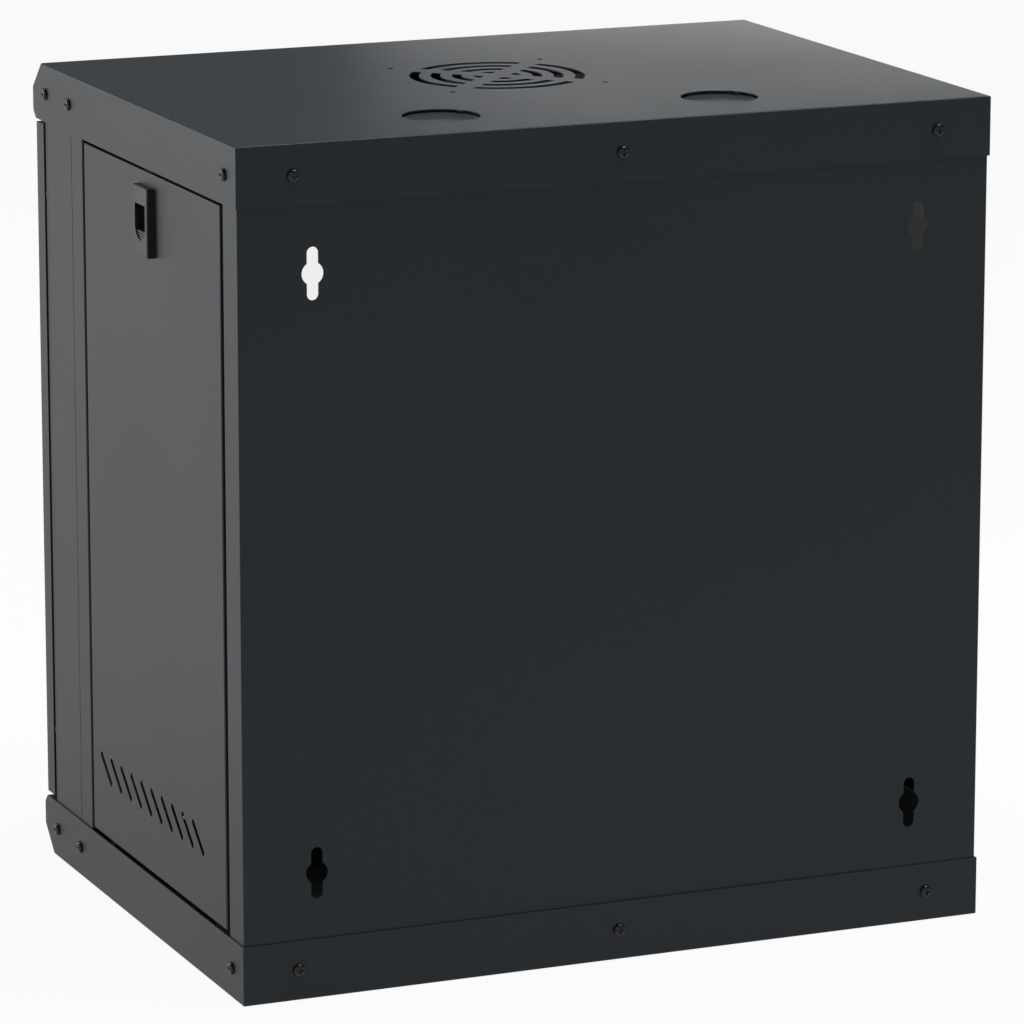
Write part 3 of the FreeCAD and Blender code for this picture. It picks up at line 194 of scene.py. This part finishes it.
FINISH = {
    "powder_coat": powder_coat(),
    "black_screws": blackened_steel(),
    "black_plastic": moulded_plastic("black_moulded_plastic", (0.005, 0.005, 0.0055), 0.42),
    "white_plastic": moulded_plastic("white_nylon", (0.72, 0.72, 0.68), 0.4),
    "rubber": rubber(),
    "glass": clear_glass(),
    "rail_zinc": plated_metal("zinc_plated_rail", (0.60, 0.62, 0.63), 0.34),
    "zinc": plated_metal("zinc_plated_hardware", (0.58, 0.59, 0.60), 0.30),
    "chrome": plated_metal("polished_chrome", (0.78, 0.79, 0.80), 0.10, spread=0.05),
    "brass": plated_metal("plain_brass", (0.66, 0.47, 0.20), 0.28),
}

for entry in frame["record"]["subparts"]:
    materials = nodes[entry["node"]].data.materials
    materials.clear()
    materials.append(FINISH[entry["material_slot"]])


# ---------------------------------------------------------------- folded edges of the sheet metal

FOLD_RADIUS = 1.6 * MM              # outer bend of the covers' sheet
COATED_EDGE = 0.3 * MM              # how far powder coat rounds a sharp edge
SHEETS = ("top_cover", "bottom_cover", "rear_panel", "front_post", "side_panel", "door_frame",
          "depth_bracket", "mounting_rail", "latch_housing")


def join_triangles(item):
    weld = item.modifiers.new("join_triangles", "WELD")
    weld.merge_threshold = NEAR


def whole_faces(item):
    """Makes one face of the triangles that lie in one plane, so that no crease runs across it."""
    join_triangles(item)
    flat = item.modifiers.new("whole_faces", "DECIMATE")
    flat.decimate_type = "DISSOLVE"
    flat.angle_limit = math.radians(0.1)


def round_folds(item, level):
    """Marks the folds round a cover's large face, at this level, and gives them the bend of the sheet."""
    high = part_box(item.name)[1]
    mesh = item.data
    weights = mesh.attributes.new("bevel_weight_edge", "FLOAT", "EDGE")
    for edge in mesh.edges:
        first, second = (mesh.vertices[i].co for i in edge.vertices)
        if abs(first.z - level) > NEAR or abs(second.z - level) > NEAR:
            continue
        along_side = abs(abs(first.x) - high.x) < NEAR and abs(first.x - second.x) < NEAR
        along_rear = abs(first.y - high.y) < NEAR and abs(second.y - high.y) < NEAR
        if along_side or along_rear:
            weights.data[edge.index].value = 1.0
    join_triangles(item)
    bend = item.modifiers.new("bent_folds", "BEVEL")
    bend.width = FOLD_RADIUS
    bend.segments = 3
    bend.limit_method = "WEIGHT"


def soften(item):
    """Rounds the sharp edges a little, as powder coat does, and keeps the faces flat."""
    join_triangles(item)
    edge = item.modifiers.new("coated_edges", "BEVEL")
    edge.width = COATED_EDGE
    edge.segments = 2
    edge.limit_method = "ANGLE"
    edge.angle_limit = math.radians(40)
    edge.use_clamp_overlap = True
    flat = item.modifiers.new("flat_faces", "WEIGHTED_NORMAL")
    flat.mode = "FACE_AREA"
    flat.weight = 100


whole_faces(nodes["rear_panel"])
round_folds(nodes["top_cover"], level=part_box("top_cover")[1].z)
round_folds(nodes["bottom_cover"], level=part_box("bottom_cover")[0].z)
for name, item in nodes.items():
    if name.startswith(SHEETS):
        soften(item)


# ---------------------------------------------------------------- tools for the added pieces

# Each turns a shape that stands on Z 0 so that its top points this way.
TURN_TO = {
    "+x": Matrix.Rotation(math.radians(90), 4, "Y"),
    "-x": Matrix.Rotation(math.radians(-90), 4, "Y"),
    "-y": Matrix.Rotation(math.radians(90), 4, "X"),
    "+y": Matrix.Rotation(math.radians(-90), 4, "X"),
}


def centre_of(node):
    low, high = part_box(node)
    return (low + high) / 2, low, high


def close_up(bm):
    bmesh.ops.remove_doubles(bm, verts=bm.verts, dist=0.0001 * MM)
    bmesh.ops.recalc_face_normals(bm, faces=bm.faces)


def as_object(bm, name):
    data = bpy.data.meshes.new(name)
    bm.to_mesh(data)
    item = bpy.data.objects.new(name, data)
    scene.collection.objects.link(item)
    return item


def cut_away(bm, cutter):
    """Takes the cutter's shape out of bm, and frees the cutter."""
    close_up(bm)
    bmesh.ops.recalc_face_normals(cutter, faces=cutter.faces)
    base = as_object(bm, "base")
    tool = as_object(cutter, "tool")
    cutter.free()
    cut = base.modifiers.new("cut", "BOOLEAN")
    cut.object = tool
    cut.solver = "EXACT"
    cut.use_self = True
    bpy.context.view_layer.update()
    whole = base.evaluated_get(bpy.context.evaluated_depsgraph_get())
    result = bpy.data.meshes.new_from_object(whole)
    bm.clear()
    bm.from_mesh(result)
    spent = [base.data, tool.data, result]
    for item in (base, tool):
        bpy.data.objects.remove(item)
    for data in spent:
        bpy.data.meshes.remove(data)


def turned(bm, profile, steps=48):
    """Adds a shape turned about Z from points of (radius, height), from axis to axis or round a ring."""
    verts = [bm.verts.new((radius, 0.0, height)) for radius, height in profile]
    edges = [bm.edges.new(pair) for pair in zip(verts, verts[1:])]
    bmesh.ops.spin(bm, geom=verts + edges, cent=(0, 0, 0), axis=(0, 0, 1), angle=2 * math.pi,
                   steps=steps, use_merge=True)


def hexagon(bm, across, height, chamfer=0.4 * MM):
    """Adds a hexagonal block standing on Z 0, with the edges of its two ends chamfered."""
    corner_r = across / math.sqrt(3)
    made = bmesh.ops.create_cone(bm, cap_ends=True, segments=6, radius1=corner_r, radius2=corner_r,
                                 depth=height, matrix=Matrix.Translation((0, 0, height / 2)))
    rims = {edge for vert in made["verts"] for edge in vert.link_edges
            if abs(edge.verts[0].co.z - edge.verts[1].co.z) < NEAR}
    bmesh.ops.bevel(bm, geom=list(rims), offset=chamfer, segments=2, affect="EDGES", profile=0.5,
                    material=-1)


def thread(bm, radius, start, end, pitch):
    """Adds a shank with the ridges of a screw thread, each cut in by 0.3 of the pitch."""
    root = radius - 0.3 * pitch
    profile = [(0.0, start)]
    z = start
    while z + pitch <= end:
        profile += [(root, z), (radius, z + 0.35 * pitch), (radius, z + 0.5 * pitch)]
        z += pitch
    profile += [(root, end), (0.0, end)]
    turned(bm, profile, steps=24)


def cross_recess(bm, top, reach, width, depth):
    """Cuts a cross-head recess, narrower below, into the flat round face on top."""
    cutter = bmesh.new()
    for turn in (0.0, math.pi / 2):
        arm = bmesh.ops.create_cube(cutter, size=1.0)["verts"]
        bmesh.ops.scale(cutter, vec=(2 * reach, width, 2 * depth), verts=arm)
        tip = [vert for vert in arm if vert.co.z < 0]
        bmesh.ops.scale(cutter, vec=(0.45, 0.7, 1.0), verts=tip)
        bmesh.ops.rotate(cutter, matrix=Matrix.Rotation(turn, 3, "Z"), verts=arm)
        bmesh.ops.translate(cutter, vec=(0, 0, top), verts=arm)
    cut_away(bm, cutter)


def pan_head(bm, radius, height):
    """Adds a domed screw head standing on Z 0, with a cross recess."""
    turned(bm, [
        (0.0, 0.0), (radius, 0.0), (radius, 0.22 * height), (0.96 * radius, 0.5 * height),
        (0.84 * radius, 0.76 * height), (0.62 * radius, 0.93 * height), (0.38 * radius, height),
        (0.0, height),
    ])
    cross_recess(bm, top=height, reach=0.58 * radius, width=0.24 * radius, depth=0.5 * height)


def copies(master, spots):
    """A bmesh of the master repeated at each spot of (point, way to turn to); frees the master."""
    data = bpy.data.meshes.new("copies")
    master.to_mesh(data)
    many = bmesh.new()
    for point, way in spots:
        before = set(many.verts)
        many.from_mesh(data)
        fresh = [vert for vert in many.verts if vert not in before]
        bmesh.ops.transform(many, matrix=Matrix.Translation(point) @ TURN_TO[way], verts=fresh)
    bpy.data.meshes.remove(data)
    master.free()
    return many


def piece(bm, name, body, finish, node, sharp_from=35.0):
    """Makes the finished object, which rides on its body and stands for a plain node."""
    close_up(bm)
    data = bpy.data.meshes.new(name)
    bm.to_mesh(data)
    bm.free()
    data.materials.append(FINISH[finish])
    data.shade_smooth()
    data.set_sharp_from_angle(angle=math.radians(sharp_from))
    item = bpy.data.objects.new(name, data)
    scene.collection.objects.link(item)
    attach(item, body)
    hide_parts(node)
    return item


# ---------------------------------------------------------------- fasteners

def rail_fixings():
    """Cross-head screws outside the brackets and hexagon nuts inside the rails."""
    head_r, head_tall = 5.5 * MM, 3.6 * MM
    shank_r, shank_pitch = 2.95 * MM, 0.8 * MM
    nut_across, nut_tall = 9.4 * MM, 4.0 * MM
    screw_gap = 14.0 * MM
    for side, sign, out in (("right", 1, "+x"), ("left", -1, "-x")):
        centre, low, high = centre_of(f"rail_screws_{side}")
        spots = [(y, z) for y in (centre.y - screw_gap / 2, centre.y + screw_gap / 2)
                 for z in (low.z + head_r, high.z - head_r)]
        shank_end, head_top = sorted((abs(low.x), abs(high.x)))
        seat = head_top - head_tall
        screw = bmesh.new()
        pan_head(screw, head_r, head_tall)
        thread(screw, shank_r, shank_end - seat, 0.0, shank_pitch)
        many = copies(screw, [((sign * seat, y, z), out) for y, z in spots])
        piece(many, f"rail_screws_{side}_threaded", f"rail_{side}", "zinc", f"rail_screws_{side}")
        nut_foot = min(abs(corner.x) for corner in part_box(f"rail_nuts_{side}"))
        nut = bmesh.new()
        hexagon(nut, nut_across, nut_tall)
        many = copies(nut, [((sign * nut_foot, y, z), out) for y, z in spots])
        piece(many, f"rail_nuts_{side}_hexagon", f"rail_{side}", "zinc", f"rail_nuts_{side}")


def glass_clip_fixings():
    """Small flanged nuts on studs that hold the glass clips."""
    clips, clip_end = 4, 60 * MM
    flange_r, flange_tall = 3.5 * MM, 0.9 * MM
    glass_low, glass_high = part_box("door_glass")
    nuts_low, nuts_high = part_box("glass_clip_nuts")
    nut = bmesh.new()
    turned(nut, [(0.0, 0.0), (flange_r, 0.0), (3.45 * MM, 0.5 * MM), (2.9 * MM, flange_tall),
                 (0.0, flange_tall)])
    hexagon(nut, across=4.9 * MM, height=2.6 * MM, chamfer=0.3 * MM)
    thread(nut, radius=1.4 * MM, start=0.2 * MM, end=3.2 * MM, pitch=0.5 * MM)
    first, last = glass_low.z + clip_end, glass_high.z - clip_end
    spots = []
    for i in range(clips):
        z = first + i * (last - first) / (clips - 1)
        spots += [((sign * (nuts_high.x - flange_r), nuts_low.y, z), "+y") for sign in (-1, 1)]
    piece(copies(nut, spots), "glass_clip_flange_nuts", "door", "zinc", "glass_clip_nuts")


def earth_terminal():
    """Threaded stud with its hexagon nut on the bottom cover."""
    centre, low, high = centre_of("earth_stud")
    stud = bmesh.new()
    thread(stud, 3.0 * MM, low.z, high.z, pitch=1.0 * MM)
    bmesh.ops.translate(stud, vec=(centre.x, centre.y, 0), verts=stud.verts)
    piece(stud, "earth_stud_threaded", "cabinet", "zinc", "earth_stud")
    nut = bmesh.new()
    hexagon(nut, across=9.4 * MM, height=5.0 * MM)
    bmesh.ops.translate(nut, vec=(centre.x, centre.y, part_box("earth_nut")[0].z), verts=nut.verts)
    piece(nut, "earth_nut_hexagon", "cabinet", "brass", "earth_nut")


# ---------------------------------------------------------------- lock, buffers and hinge spring

def lock_body():
    """Chromed lock body with a rounded rim, a barrel through the door and a bore for the plug."""
    bore_r, barrel_r, rim_r = 6.08 * MM, 9.0 * MM, 12.0 * MM
    centre, low, high = centre_of("lock_body")
    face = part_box("door_frame")[0].y
    back, rim = face - high.y, face - low.y
    body = bmesh.new()
    turned(body, [
        (bore_r, back), (barrel_r, back), (barrel_r, 0.0), (rim_r, 0.0), (rim_r, 0.55 * rim),
        (11.7 * MM, 0.8 * rim), (11.0 * MM, 0.95 * rim), (10.0 * MM, rim), (7.6 * MM, rim),
        (7.2 * MM, 0.9 * rim), (6.9 * MM, 0.7 * rim), (bore_r, 0.6 * rim), (bore_r, back),
    ], steps=72)
    seat = Matrix.Translation((centre.x, face, centre.z)) @ TURN_TO["-y"]
    bmesh.ops.transform(body, matrix=seat, verts=body.verts)
    piece(body, "lock_body_turned", "door", "chrome", "lock_body", sharp_from=25.0)
    return seat, face


def lock_plug(seat, face):
    """The turning plug, with a chamfered front and a keyway with its ward."""
    radius, chamfer, key_depth = 6.0 * MM, 0.3 * MM, 12.0 * MM
    low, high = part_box("lock_plug")
    front, end = face - low.y, face - high.y
    plug = bmesh.new()
    turned(plug, [
        (0.0, end), (radius, end), (radius, front - 1.0 * MM), (radius - chamfer, front - 0.5 * MM),
        (5.2 * MM, front - chamfer), (0.0, front - chamfer),
    ], steps=64)
    keyway = bmesh.new()
    slot = bmesh.ops.create_cube(keyway, size=1.0)["verts"]
    bmesh.ops.scale(keyway, vec=(1.3 * MM, 7.0 * MM, key_depth), verts=slot)
    bmesh.ops.translate(keyway, vec=(0.0, 0.0, front), verts=slot)
    ward = bmesh.ops.create_cube(keyway, size=1.0)["verts"]
    bmesh.ops.scale(keyway, vec=(1.2 * MM, 1.4 * MM, key_depth), verts=ward)
    bmesh.ops.translate(keyway, vec=(0.9 * MM, -0.8 * MM, front), verts=ward)
    cut_away(plug, keyway)
    bmesh.ops.transform(plug, matrix=seat, verts=plug.verts)
    piece(plug, "lock_plug_with_keyway", "lock_cylinder", "chrome", "lock_plug")


def cam_screw():
    centre, low, high = centre_of("lock_cam_screw")
    head = bmesh.new()
    hexagon(head, across=8.0 * MM, height=high.y - low.y)
    seat = Matrix.Translation((centre.x, low.y, centre.z)) @ TURN_TO["+y"]
    bmesh.ops.transform(head, matrix=seat, verts=head.verts)
    piece(head, "lock_cam_hexagon_screw", "lock_cylinder", "zinc", "lock_cam_screw")


def door_buffers():
    """Domed rubber buffers on the post, where the door's free edge comes to rest."""
    radius = 5.0 * MM
    centre, low, high = centre_of("door_buffers")
    tall = high.y - low.y
    buffer = bmesh.new()
    turned(buffer, [
        (0.0, 0.0), (radius, 0.0), (radius, 0.4 * tall), (0.94 * radius, 0.62 * tall),
        (0.8 * radius, 0.82 * tall), (0.56 * radius, 0.95 * tall), (0.24 * radius, tall), (0.0, tall),
    ])
    spots = [((centre.x, high.y, z), "-y") for z in (low.z + radius, high.z - radius)]
    piece(copies(buffer, spots), "door_buffers_domed", "cabinet", "rubber", "door_buffers",
          sharp_from=60.0)


def hinge_spring():
    """The coil spring round the upper hinge pin, made at one fixed length; the real spring shortens as
    the pin is drawn down, but this code leaves it as it is.
    """
    wire_r, turns, steps_a_turn = 0.4 * MM, 7, 32
    centre, low, high = centre_of("upper_hinge_spring")
    tall = high.z - low.z
    coil_r = (high.x - low.x) / 2 - wire_r
    steps = turns * steps_a_turn
    rise = (0, 0, (tall - 2 * wire_r) / steps)
    bm = bmesh.new()
    upright = Matrix.Translation((coil_r, 0, wire_r)) @ Matrix.Rotation(math.pi / 2, 4, "X")
    bmesh.ops.create_circle(bm, segments=12, radius=wire_r, matrix=upright)
    bmesh.ops.spin(bm, geom=bm.verts[:] + bm.edges[:], cent=(0, 0, 0), axis=(0, 0, 1), dvec=rise,
                   angle=2 * math.pi * turns, steps=steps)
    bmesh.ops.holes_fill(bm, edges=[edge for edge in bm.edges if edge.is_boundary], sides=0)
    bmesh.ops.translate(bm, vec=(centre.x, centre.y, low.z), verts=bm.verts)
    spring = piece(bm, "hinge_coil_spring", "door", "zinc", "upper_hinge_spring")
    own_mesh(spring)


rail_fixings()
glass_clip_fixings()
hinge_spring()
earth_terminal()
lock_plug(*lock_body())
cam_screw()
door_buffers()


# ---------------------------------------------------------------- camera, lights and floor

ROOM_LIGHT = 0.14                   # strength of the world's plain light
ROOM_COLOUR = (0.93, 0.97, 1.0, 1.0)
WORLD_SHARES = (1.0, 0.06)          # the white background's share where seen, and in a gloss
FLOOR_SHARES = (0.93, 0.60)
FLOOR_HALF = 14.0
FLOOR_DROP = 0.3 * MM               # keeps the floor clear of the faces that stand on it
MIDDLE = (0.0, 0.0, 0.32)           # where the lamps point
SOFTBOXES = (                       # name, place, target, width and height, power
    ("front_softbox", (0.8, -1.8, 3.3), MIDDLE, (1.6, 1.2), 30.0),
    ("right_softbox", (3.2, -2.9, 0.95), MIDDLE, (2.6, 1.5), 67.0),
    ("overhead_softbox", (-1.1, 0.65, 3.2), MIDDLE, (1.5, 1.2), 60.0),
    ("fill_softbox", (3.0, 3.5, 2.0), MIDDLE, (1.5, 1.5), 17.0),
    ("front_strip_softbox", (-1.02, -1.0, 0.70), (-1.02, 0.0, 0.70), (1.5, 0.10), 3.0),
)


def add_camera():
    """A long lens beyond the rear right corner, a little above the cabinet."""
    place = Vector((1716.7, 4052.9, 1316.8)) * MM
    yaw, pitch = -0.3996, 0.2228
    ahead = Vector((math.sin(yaw) * math.cos(pitch), -math.cos(yaw) * math.cos(pitch), -math.sin(pitch)))
    right = Vector((-math.cos(yaw), -math.sin(yaw), 0.0))
    up = right.cross(ahead)
    data = bpy.data.cameras.new("camera")
    data.sensor_width = 36.0
    data.lens = 205.6
    data.shift_x = 0.0156
    data.shift_y = -0.0293
    data.clip_end = 60.0
    camera = bpy.data.objects.new("camera", data)
    turn = Matrix((right, up, -ahead)).transposed().to_4x4()
    camera.matrix_world = Matrix.Translation(place) @ turn
    scene.collection.objects.link(camera)
    scene.camera = camera


def add_softbox(name, place, target, size, power):
    data = bpy.data.lights.new(name, "AREA")
    data.shape = "ELLIPSE"
    data.size, data.size_y = size
    data.energy = power
    lamp = bpy.data.objects.new(name, data)
    lamp.visible_camera = False
    place = Vector(place)
    aim = (Vector(target) - place).to_track_quat("-Z", "Y")
    lamp.matrix_world = Matrix.Translation(place) @ aim.to_matrix().to_4x4()
    scene.collection.objects.link(lamp)


def math_node(tree, operation, first, second):
    node = tree.nodes.new("ShaderNodeMath")
    node.operation = operation
    for socket, value in zip(node.inputs, (first, second)):
        if isinstance(value, (int, float)):
            socket.default_value = value
        else:
            tree.links.new(value, socket)
    return node.outputs["Value"]


def background_share(tree, seen, mirrored):
    """The background's share in a ray: seen directly or through glass, mirrored, or 0 for the light."""
    path = tree.nodes.new("ShaderNodeLightPath")
    not_bounced = math_node(tree, "LESS_THAN", path.outputs["Diffuse Depth"], 0.5)
    through = math_node(tree, "MULTIPLY", path.outputs["Is Transmission Ray"], not_bounced)
    direct = math_node(tree, "MAXIMUM", path.outputs["Is Camera Ray"], through)
    gloss = math_node(tree, "MULTIPLY", path.outputs["Is Glossy Ray"], not_bounced)
    return math_node(tree, "MAXIMUM", math_node(tree, "MULTIPLY", direct, seen),
                     math_node(tree, "MULTIPLY", gloss, mirrored))


def add_world():
    """A plain room for the light, and white where it is seen."""
    world = bpy.data.worlds.new("studio")
    scene.world = world
    world.use_nodes = True
    tree = world.node_tree
    tree.nodes.clear()
    output = tree.nodes.new("ShaderNodeOutputWorld")
    white = tree.nodes.new("ShaderNodeBackground")
    white.inputs["Color"].default_value = (1.0, 1.0, 1.0, 1.0)
    white.inputs["Strength"].default_value = 1.0
    room = tree.nodes.new("ShaderNodeBackground")
    room.inputs["Color"].default_value = ROOM_COLOUR
    room.inputs["Strength"].default_value = ROOM_LIGHT
    mix = tree.nodes.new("ShaderNodeMixShader")
    tree.links.new(background_share(tree, *WORLD_SHARES), mix.inputs["Fac"])
    tree.links.new(room.outputs["Background"], mix.inputs[1])
    tree.links.new(white.outputs["Background"], mix.inputs[2])
    tree.links.new(mix.outputs["Shader"], output.inputs["Surface"])


def pale_floor():
    """Matt pale paint that keeps the shadow, lifted towards white where it is seen."""
    material, tree, shader = new_material("pale_floor")
    output = next(node for node in tree.nodes if node.type == "OUTPUT_MATERIAL")
    shader.inputs["Base Color"].default_value = (0.86, 0.86, 0.86, 1.0)
    shader.inputs["Roughness"].default_value = 0.8
    shader.inputs["Specular IOR Level"].default_value = 0.1
    glow = tree.nodes.new("ShaderNodeEmission")
    glow.inputs["Strength"].default_value = 1.0
    mix = tree.nodes.new("ShaderNodeMixShader")
    tree.links.new(background_share(tree, *FLOOR_SHARES), mix.inputs["Fac"])
    tree.links.new(shader.outputs["BSDF"], mix.inputs[1])
    tree.links.new(glow.outputs["Emission"], mix.inputs[2])
    tree.links.new(mix.outputs["Shader"], output.inputs["Surface"])
    return material


def add_floor():
    bm = bmesh.new()
    bmesh.ops.create_grid(bm, x_segments=1, y_segments=1, size=FLOOR_HALF)
    bmesh.ops.translate(bm, vec=(0, 0, -FLOOR_DROP), verts=bm.verts)
    floor = as_object(bm, "floor")
    bm.free()
    floor.data.materials.append(pale_floor())


scene.view_settings.view_transform = "Standard"
add_camera()
add_world()
add_floor()
for softbox in SOFTBOXES:
    add_softbox(*softbox)
